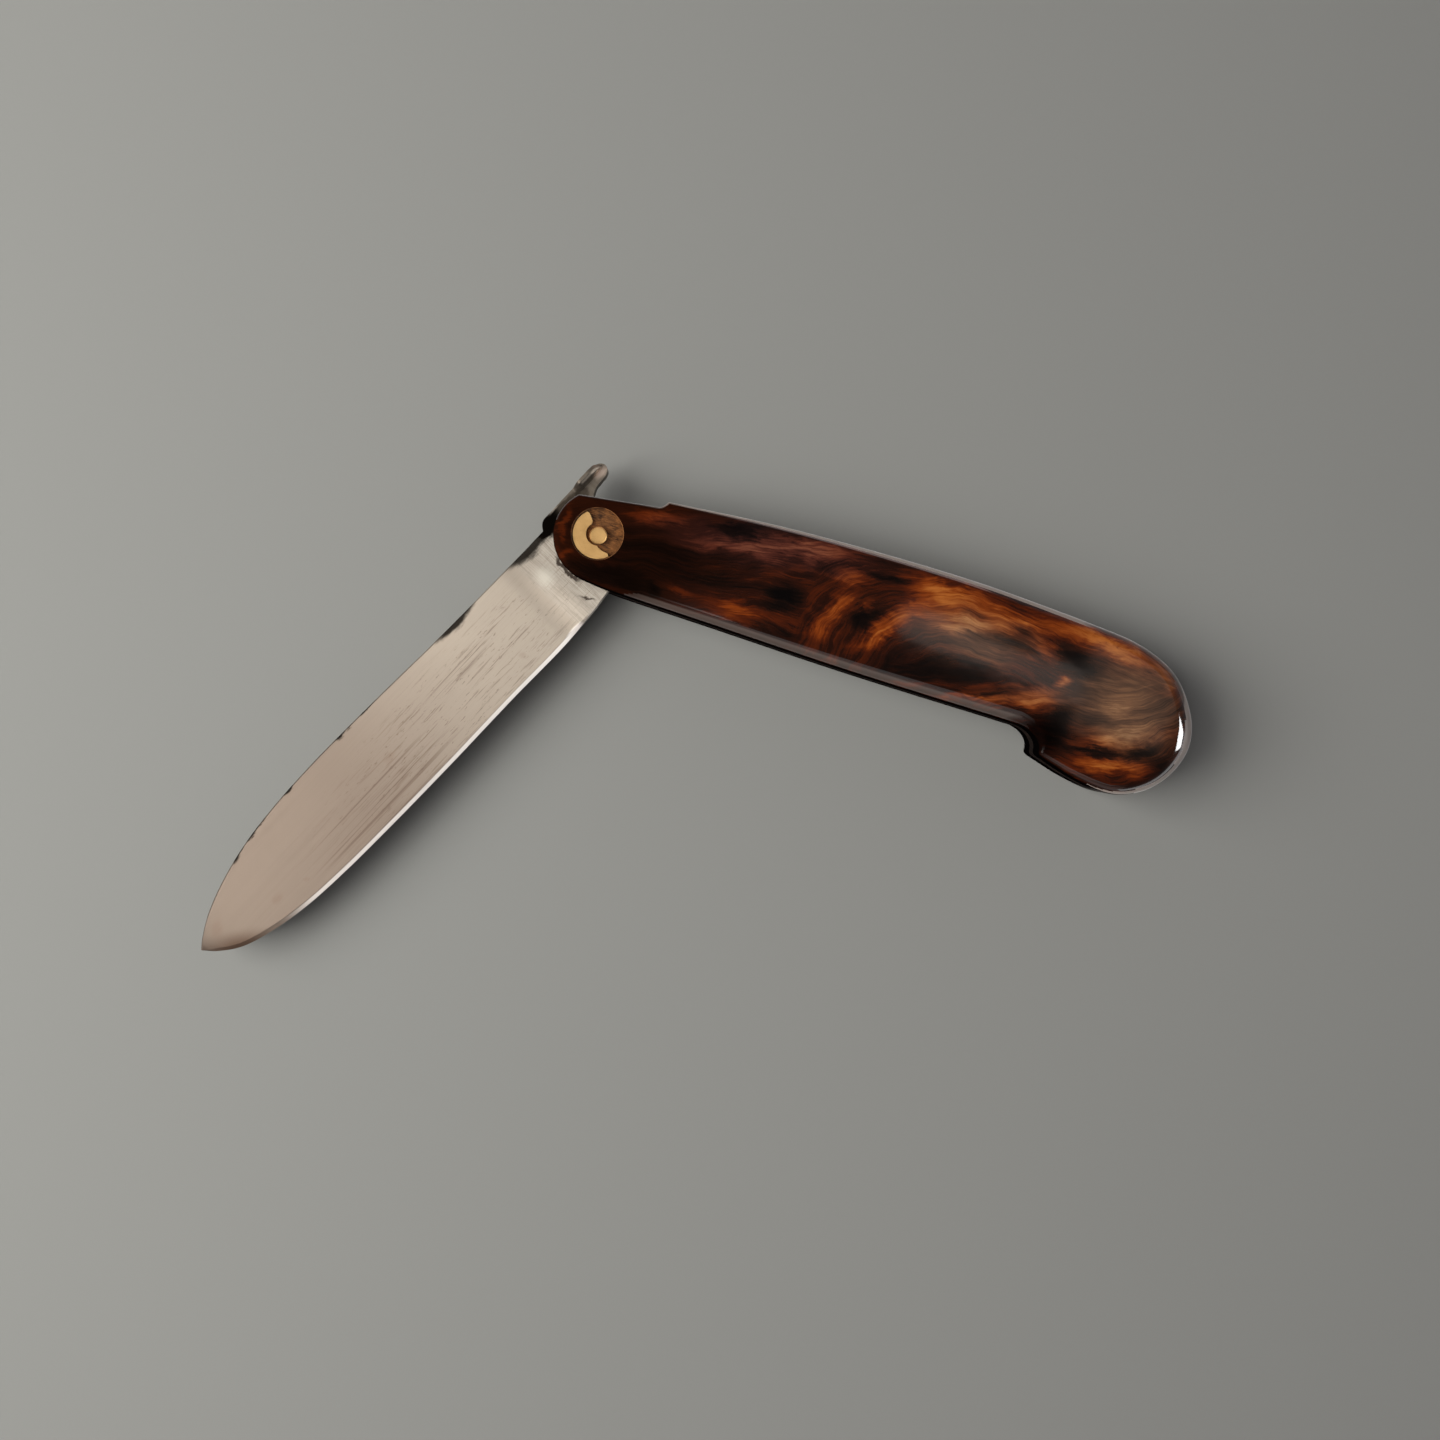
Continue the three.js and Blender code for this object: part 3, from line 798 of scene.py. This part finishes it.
def handle_outline():
    """Points round the handle, anticlockwise, with the way inwards and the rounding at each."""
    offset = SEAT_HEIGHT * math.cos(SEAT_SLOPE) - SEAT_END * math.sin(SEAT_SLOPE)
    seat_start = math.pi / 2 + SEAT_SLOPE + math.acos(offset / FRONT_RADIUS)
    seat = Vector((math.cos(seat_start), math.sin(seat_start))) * FRONT_RADIUS
    seat_foot = (SEAT_END - STEP_FILLET, SEAT_HEIGHT - STEP_FILLET * math.tan(SEAT_SLOPE))
    belly_start = 1.5 * math.pi - math.atan2(BELLY_AT_FRONT - FRONT_RADIUS, FRONT_RADIUS / 2)
    belly_first = Vector((math.cos(belly_start), math.sin(belly_start))) * FRONT_RADIUS
    fillet_x = NOTCH_AT - NOTCH_RUN
    corner_y = -BELLY_AT_NOTCH - NOTCH_DROP
    corner_end = (NOTCH_AT + 1, corner_y - 0.85)
    step_top = (SEAT_END + STEP_RUN, BACK_AT_STEP)
    belly = [
        belly_first,
        (FRONT_RADIUS / 2, -BELLY_AT_FRONT),
        (PALM_AT / 2, -(BELLY_AT_FRONT + BELLY_AT_PALM) / 2 + 0.05),
        (PALM_AT, -BELLY_AT_PALM),
        (fillet_x, -BELLY_AT_NOTCH),
    ]
    bulb_low = [
        corner_end,
        ((NOTCH_AT + BULB_LOW_AT) / 2, 0.8 - BULB_DROP),
        (BULB_LOW_AT, -BULB_DROP),
        (BUTT_AT - 5.5, 2.1 - BULB_DROP),
        (BUTT_AT - 2.6, 4.9 - BULB_DROP),
        (BUTT_AT - 0.95, BUTT_HEIGHT - 3.6),
        (BUTT_AT - 0.15, BUTT_HEIGHT - 1.4),
        (BUTT_AT, BUTT_HEIGHT),
    ]
    butt = [
        (BUTT_AT, BUTT_HEIGHT),
        (BUTT_AT - 0.15, BUTT_HEIGHT + 1.2),
        (BUTT_AT - 0.75, BUTT_HEIGHT + 3.1),
        (BUTT_AT - 1.75, BUTT_HEIGHT + 5.1),
        (BUTT_AT - 4.2, BUTT_HEIGHT + 8.5),
        (BUTT_AT - 6.3, BACK_AT_NECK - 3.8),
        (BUTT_AT - 8.8, BACK_AT_NECK - 2.5),
        (BUTT_AT - 13.2, BACK_AT_NECK - 1.1),
        (NECK_AT, BACK_AT_NECK),
    ]
    back = [
        (NECK_AT, BACK_AT_NECK),
        ((NECK_AT + PALM_AT) / 2 + 1, (BACK_AT_NECK + BACK_AT_PALM) / 2 + 0.4),
        (PALM_AT, BACK_AT_PALM),
        ((PALM_AT + SEAT_END) / 2, (BACK_AT_PALM + BACK_AT_STEP) / 2 + 0.4),
        step_top,
    ]
    # Each stretch: its curve, its steps, and the rounding where it starts and where it ends
    stretches = [
        (arc(0, 0, FRONT_RADIUS, seat_start, belly_start), 48, CRISP, FRONT),
        (spline(belly), 100, FRONT, BODY),
        (arc(fillet_x, corner_y, NOTCH_RUN, math.pi / 2, 0, NOTCH_DROP), 20, BODY, CRISP),
        (bend((NOTCH_AT, corner_y), (NOTCH_AT, corner_y - 0.6), corner_end), 4, CRISP, CRISP),
        (spline(bulb_low), 90, CRISP, BUTT),
        (spline(butt), 80, BUTT, BODY),
        (spline(back), 64, BODY, CRISP),
        (bend(step_top, (SEAT_END, SEAT_HEIGHT), seat_foot), 6, CRISP, CRISP),
        (line(seat_foot, seat), 8, CRISP, CRISP),
    ]
    points = [
        Vector((*curve(i / steps), *Vector(start).lerp(Vector(end), i / steps)))
        for curve, steps, start, end in stretches
        for i in range(steps)
    ]
    # The bulb, the butt and the back, between their sharp ends
    rounded = slice(sum(part[1] for part in stretches[:4]), sum(part[1] for part in stretches[:7]))
    points[rounded] = even_out(spaced(points[rounded]))
    places = [point.xy for point in points]
    inward = []
    for i, here in enumerate(places):
        before = places[i - 1]
        after = places[(i + 1) % len(places)]
        first = Vector((before.y - here.y, here.x - before.x)).normalized()
        second = Vector((here.y - after.y, after.x - here.x)).normalized()
        normal = (first + second).normalized()
        inward.append(normal / max(normal.dot(first), 0.6))
    inward[rounded] = even_out(inward[rounded])
    return [(point.xy, normal, point.z, point.w) for point, normal in zip(points, inward)]


def handle_body(material, rubbed):
    outline = handle_outline()

    def ring(angle, top):
        points = []
        for here, inward, reach, depth in outline:
            inset = here + inward * reach * (1 - math.cos(angle))
            fall = depth * (1 - math.sin(angle))
            points.append((inset.x, inset.y, THICKNESS - fall if top else fall))
        return points

    angles = [i / ROUNDING_STEPS * math.pi / 2 for i in range(ROUNDING_STEPS + 1)]
    rings = [ring(angle, False) for angle in reversed(angles)] + [ring(angle, True) for angle in angles]
    made = skin("handle_wood", rings, material)
    made.data.materials.append(rubbed)
    # The rubbed rim: widest round the butt, and none on the belly at the front and at the notch
    for i, (here, inward, reach, _) in enumerate(outline):
        below = inward.y > -0.1 and here.x < BULB_LOW_AT + 3
        first = RUBBED_ABOVE_WALL if below else 0
        butt = RUBBED_BUTT + smooth(-here.y, 6, 9)
        last = lerp(RUBBED_BODY, butt, smooth(reach, BODY[0], BUTT[0]))
        if below and here.x < NOTCH_AT:
            last = RUBBED_BELLY * smooth(here.x, 4, 9) * smooth(here.x, 76, 72)
        elif below:
            last = lerp(0, last, smooth(here.x, NOTCH_AT, BULB_LOW_AT + 3))
        for r in range(len(rings) - 1):
            if first <= abs(r - ROUNDING_STEPS) <= last:
                made.data.polygons[r * len(outline) + i].material_index = 1
    return made


def slot_cutter(material):
    roof = max(HEEL_EDGE, BELLY_EDGE) + SLOT_ROOF_GAP
    front_roof = RICASSO_EDGE + SLOT_ROOF_GAP
    reach = BLADE_REACH + SLOT_END_GAP
    away = 2 * BULB_DROP
    ahead = -3 * FRONT_RADIUS
    outline = [
        (ahead, front_roof),
        (ahead, -away),
        *sample(arc(0, 0, reach, -math.asin(away / reach), 0), 40),
        *sample(bend((reach, 0), (BLADE_REACH - 7.5, roof - 0.1), (BELLY_AT + 8, roof)), 40),
        (BELLY_AT + 8, roof),
        (RICASSO_END + 4, roof),
        (RICASSO_END - 4, front_roof),
    ]
    half = BLADE_THICKNESS / 2 + SLOT_SIDE_GAP
    return plate("slot", outline, MID_HEIGHT - half, MID_HEIGHT + half, material)


def make_handle():
    wood = handle_wood("lacquered_wood", 0, **{"Coat Roughness": 0.06})
    worn = {"Coat Roughness": 0.45, "Sheen Weight": 1.0, "Sheen Roughness": 0.3}
    # The rubbed rim is paler with dust and a painted reflection
    rubbed = handle_wood("rubbed_wood", 0.7, **worn)
    raw = raw_wood("recess_wood", (42, 23, 12), (160, 106, 58))
    # The slot's and the bore's sawn wood is painted near black, as the shade inside them
    sawn_in_shade = raw_wood("slot_wood_in_shade", (10, 7, 5), (38, 25, 18))
    made = handle_body(wood, rubbed)
    recess = WASHER_RADIUS + RECESS_GAP
    bore = PIN_RADIUS + FIT_GAP
    centre = (RECESS_X, RECESS_Y)
    over = 1
    upper = [
        (recess, THICKNESS - RECESS_DEPTH),
        (recess, THICKNESS - RECESS_LIP),
        (recess + RECESS_LIP, THICKNESS),
        (recess + RECESS_LIP, THICKNESS + over),
    ]
    lower = [(radius, THICKNESS - z) for radius, z in upper]
    cutters = [
        slot_cutter(sawn_in_shade),
        turned("bore", [(bore, -over), (bore, THICKNESS + over)], BORE_FACETS, sawn_in_shade),
        turned("upper_recess", upper, RECESS_FACETS, raw, centre),
        turned("lower_recess", lower, RECESS_FACETS, raw, centre),
    ]
    for cutter in cutters:
        combine(made, cutter, "DIFFERENCE")
    mark_creases(made, CREASE)
    weigh_normals(made)
    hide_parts("handle")
    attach(made, "handle")


# Blade
def blade_body(material):
    """The ground blade, lofted along [distance from the pivot, to the spine, to the edge]."""
    stations = [
        (RICASSO_END - 4, HEEL_SPINE, RICASSO_EDGE),
        (RICASSO_END + 4, HEEL_SPINE + 0.15, HEEL_EDGE),
        (BELLY_AT / 2, HEEL_SPINE + 0.45, HEEL_EDGE - 0.2),
        (BELLY_AT - 14, BELLY_SPINE - 0.4, (HEEL_EDGE + BELLY_EDGE) / 2),
        (BELLY_AT, BELLY_SPINE, BELLY_EDGE),
        (BLADE_REACH - 25.4, BELLY_SPINE - 0.2, BELLY_EDGE - 0.35),
        (BLADE_REACH - 17.4, BELLY_SPINE - 1, BELLY_EDGE - 1),
        (BLADE_REACH - 10.4, BELLY_SPINE - 2.55, BELLY_EDGE - 2.3),
        (BLADE_REACH - 4.9, TIP_TO_SPINE + 3.2, BELLY_EDGE - 4.2),
        (BLADE_REACH - 1.6, TIP_TO_SPINE + 1.3, 0.3),
        (BLADE_REACH - 0.15, TIP_TO_SPINE + 0.12, 0.12 - TIP_TO_SPINE),
    ]
    spine_line = spline([(x, -spine) for x, spine, _ in stations])
    edge_line = spline([(x, edge) for x, _, edge in stations])
    steps = 16 * (len(stations) - 1)
    rows = 6
    rings = []
    for i in range(steps + 1):
        spine = spine_line(i / steps)
        edge = edge_line(i / steps)
        width = (edge - spine).length
        across = (edge - spine) / width
        taper = lerp(BLADE_THICKNESS, POINT_THICKNESS, smooth(spine.x, RICASSO_END, BLADE_REACH))
        # Close to the point, the chamfer and the bevel shrink with the width
        small = min(1, width / 4)
        ground = smooth(spine.x, RICASSO_END - 3, RICASSO_END + 3)
        shoulder = lerp(taper, SHOULDER_THICKNESS, ground)
        sharp = lerp(taper - 2 * SPINE_CHAMFER, EDGE_THICKNESS, ground)
        chamfer = SPINE_CHAMFER * small
        bevel = lerp(SPINE_CHAMFER, EDGE_BEVEL, ground) * small
        grind = [
            (lerp(chamfer, width - bevel, k / rows), lerp(taper, shoulder, k / rows) / 2)
            for k in range(rows + 1)
        ]
        half = [(0, taper / 2 - chamfer), *grind, (width, sharp / 2)]
        ring = [(*(spine + across * along), z) for along, z in half]
        rings.append(ring + [(x, y, -z) for x, y, z in reversed(ring)])
    return skin("blade_steel", rings, material)


def tang_body(material):
    meet = RICASSO_END - 3.6
    out = -LEVER_OUT
    under = out + WEB_DEPTH
    last = math.radians(235)
    last_x = TANG_RADIUS * math.cos(last)
    last_y = TANG_RADIUS * math.sin(last)
    neck = (-LEVER_NECK - 3.2, under + 0.1)
    tip = (-LEVER_REACH, out + LEVER_SLANT)
    outline = [
        (meet, RICASSO_EDGE),
        *sample(arc(0, 0, TANG_RADIUS, math.pi / 2, last), 60),
        *sample(bend((last_x, last_y), (-LEVER_NECK - 1.7, under + 0.5), neck), 12),
        neck,
        *sample(bend((2 - LEVER_REACH, under), (-LEVER_REACH, under), tip), 12),
        *sample(bend(tip, (0.3 - LEVER_REACH, out + 0.2), (-LEVER_FLAT, out)), 12),
        (-LEVER_FLAT, out),
        *sample(bend((SHOULDER_AT, out), (SHOULDER_AT + 1, out), (SHOULDER_AT + 1.8, -HEEL_SPINE)), 12),
        (SHOULDER_AT + 1.8, -HEEL_SPINE),
        (meet, -HEEL_SPINE),
    ]
    return plate("tang", outline, -BLADE_THICKNESS / 2, BLADE_THICKNESS / 2, material)


def tongue_body(material):
    """The lever's tongue: flat on its outer face, rounded underneath and at its end."""
    length = LEVER_REACH - 0.15 - LEVER_NECK
    end_round = LEVER_WIDTH / 2
    steps = 44
    around = 24
    rings = []
    for i in range(steps + 1):
        s = length * (1 - (1 - i / steps) ** 1.6)
        past = max(0, (s - (length - end_round)) / end_round)
        close = math.sqrt(max(0.03, 1 - past * past))
        half = lerp(BLADE_THICKNESS / 2 - 0.05, LEVER_WIDTH / 2, smooth(s, 0, 1.8)) * close
        x = -LEVER_NECK - s
        fall = LEVER_SLANT * smooth(-x, LEVER_FLAT - 0.3, LEVER_REACH + 0.3)
        depth = (LEVER_DEPTH - fall) * (0.55 + 0.45 * close)
        rim = min(LEVER_RIM, depth / 2)
        section = [(-half, 0), (half, 0), (half, rim)]
        for k in range(1, around):
            angle = k / around * math.pi
            down = rim + (depth - rim) * math.sin(angle) ** 0.8
            section.append((half * 0.94 * math.cos(angle), down))
        section.append((-half, rim))
        rings.append([(x, fall + down - LEVER_OUT, z) for z, down in section])
    return skin("tongue", rings, material)


def make_blade():
    steel = blade_steel()
    made = blade_body(steel)
    tongue = tongue_body(steel)
    tang = tang_body(steel)
    mark_creases(made, GROUND_CREASE)
    mark_creases(tongue, CREASE)
    hole = PIN_RADIUS + FIT_GAP
    bore = turned("bore", [(hole, -BLADE_THICKNESS), (hole, BLADE_THICKNESS)], BORE_FACETS, steel)
    combine(made, tang, "UNION")
    combine(made, tongue, "UNION")
    combine(made, bore, "DIFFERENCE")
    mark_creases(made, CREASE)
    mark_creases(made, GROUND_CREASE, RICASSO_END)
    weigh_normals(made)
    lie = Matrix.Translation((0, 0, MID_HEIGHT * MM)) @ Matrix.Rotation(REST_ANGLE, 4, "Z")
    made.data.transform(lie)
    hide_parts("blade")
    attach(made, "blade")


def dress_brass():
    metal = brass()
    for name in ("pivot_pin", "upper_washer", "lower_washer"):
        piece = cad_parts[name]
        for place in piece.material_slots:
            place.material = metal


# Floor, light and camera
def make_floor():
    size = 3000
    corners = [(-size, -size, 0), (size, -size, 0), (size, size, 0), (-size, size, 0)]
    shade = Shader("floor", Roughness=0.85)
    material = shade.finish(**{"Base Color": (*rgb(158, 160, 157), 1), "Specular IOR Level": 0.0})
    floor = mesh_object("floor", corners, [(0, 1, 2, 3)], material)


def area_light(name, place, aim, size, power, colour=(255, 255, 255), turn=0, shape="RECTANGLE"):
    data = bpy.data.lights.new(name, "AREA")
    data.shape = shape
    data.size, data.size_y = (side * MM for side in size)
    data.energy = power
    data.color = rgb(*colour)
    lamp = bpy.data.objects.new(name, data)
    scene.collection.objects.link(lamp)
    lamp.location = Vector(place) * MM
    facing = (Vector(aim) - Vector(place)).to_track_quat("-Z", "Y")
    lamp.rotation_euler = (facing @ Quaternion((0, 0, 1), math.radians(turn))).to_euler()
    return lamp


def make_world():
    """A room with a dim ceiling over paler walls."""
    world = bpy.data.worlds.new("room")
    scene.world = world
    world.use_nodes = True
    tree = world.node_tree
    tree.nodes.clear()
    link = tree.links.new
    direction = tree.nodes.new("ShaderNodeTexCoord").outputs["Generated"]
    split = tree.nodes.new("ShaderNodeSeparateXYZ")
    link(direction, split.inputs[0])
    ramp = tree.nodes.new("ShaderNodeValToRGB")
    link(split.outputs["Z"], ramp.inputs["Fac"])
    marks = ramp.color_ramp.elements
    marks[0].position = 0.0
    marks[0].color = (0.42, 0.4, 0.42, 1)
    marks[1].position = 0.85
    marks[1].color = (0.04, 0.038, 0.042, 1)
    room = tree.nodes.new("ShaderNodeBackground")
    link(ramp.outputs[0], room.inputs["Color"])
    out = tree.nodes.new("ShaderNodeOutputWorld")
    link(room.outputs[0], out.inputs["Surface"])


def make_lights():
    """Two wide lights, and softboxes that show as reflections alone."""
    knife = (30, -15, 5)
    area_light("key", (-430, -135, 405), knife, (480, 480), 3.9, (255, 251, 246))
    area_light("over_blade", (-140, -110, 600), (-140, -110, 0), (300, 280), 0.6, (255, 250, 246))
    white = (255, 255, 255)
    pale = (255, 240, 230)
    warm = (255, 232, 226)
    butt = (97, -4, 12)
    reflections = [
        ("over_neck", (164, 57, 600), (164, 57, 0), (110, 18), 0.0065, pale, -5),
        ("over_bulb", (245, 58, 600), (245, 58, 0), (54, 52), 0.004, pale),
        ("over_edge", (159, -263, 600), (159, -263, 0), (400, 200), 0.17, white, 62),
        ("window", (397, 41, 316), butt, (86, 320), 1.7, white, -8, "ELLIPSE"),
        ("low_window", (481, -175, 95), butt, (620, 190), 0.8),
        ("back_wall", (-115, 560, 160), (-50, 10, 10), (590, 320), 1.2, warm),
        ("belly_wall", (40, -560, 335), (50, -10, 10), (900, 660), 0.8, (255, 236, 226)),
    ]
    for reflection in reflections:
        area_light(*reflection).visible_diffuse = False


def make_camera():
    """Straight above the knife, as the photograph was taken."""
    x, y = 26.86, -22.62
    distance = 235
    turn = math.radians(16.5)
    data = bpy.data.cameras.new("camera")
    data.sensor_width = 36
    data.lens = 36
    data.clip_start = 10 * MM
    data.clip_end = 10
    camera = bpy.data.objects.new("camera", data)
    scene.collection.objects.link(camera)
    camera.location = Vector((x, y, MID_HEIGHT + distance)) * MM
    camera.rotation_euler = (0, 0, turn)
    scene.camera = camera


make_handle()
make_blade()
dress_brass()
make_floor()
make_world()
make_lights()
make_camera()
scene.view_settings.view_transform = "Standard"
